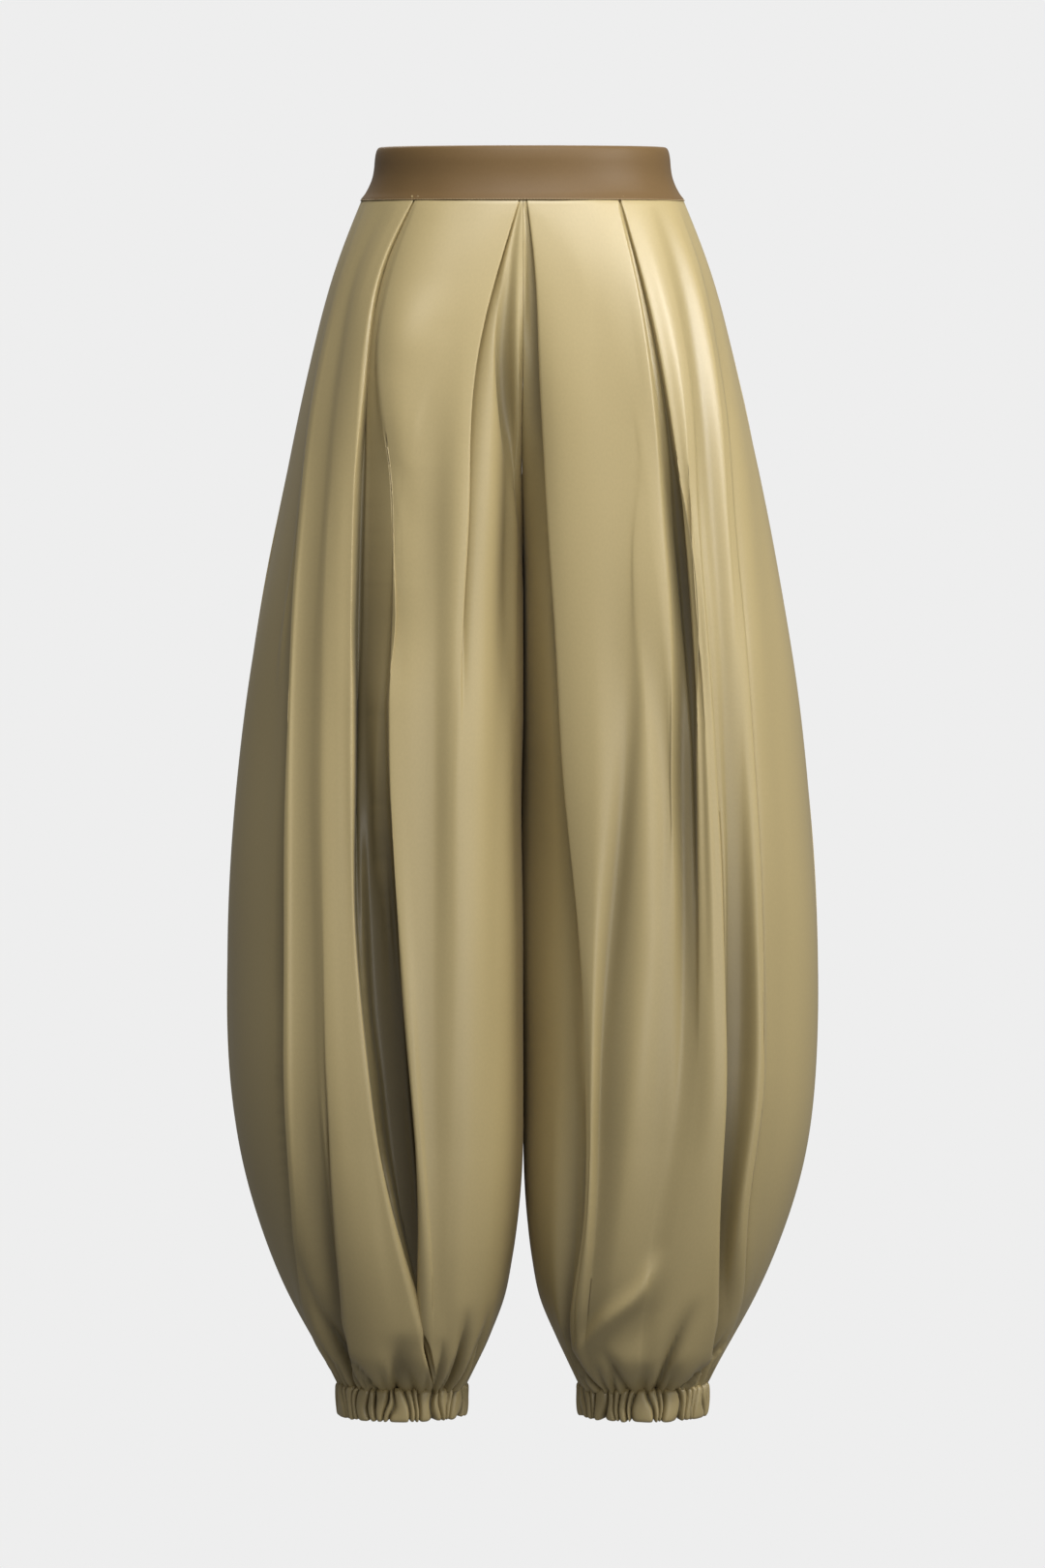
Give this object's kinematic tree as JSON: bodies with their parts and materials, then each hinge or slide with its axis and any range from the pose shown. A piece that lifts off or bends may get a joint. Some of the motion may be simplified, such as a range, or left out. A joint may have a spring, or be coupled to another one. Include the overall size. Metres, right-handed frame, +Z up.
{
  "type": "lantern pants",
  "caption": "Long full trousers in satin: a smooth contoured waistband, wide legs pleated into it that swell like lanterns, and a gathered elastic cuff at each ankle.",
  "frame": {"origin": "middle of the waist opening, half way up the waistband, where the wearer's waist holds it", "axes": "+Z up along the legs to the waist, -Y out of the front, +X towards the wearer's left"},
  "size_m": [0.4646, 0.251, 1.0033],
  "materials": {
    "leg_satin": "satin, light khaki, soft broad sheen",
    "waistband_satin": "satin, bronze, soft sheen"
  },
  "bodies": {
    "root": {"waistband_front": "waistband_satin", "waistband_back": "waistband_satin", "front_left": "leg_satin", "front_right": "leg_satin", "back_left": "leg_satin", "back_right": "leg_satin", "cuff_left": "leg_satin", "cuff_right": "leg_satin"}
  },
  "joints": []
}
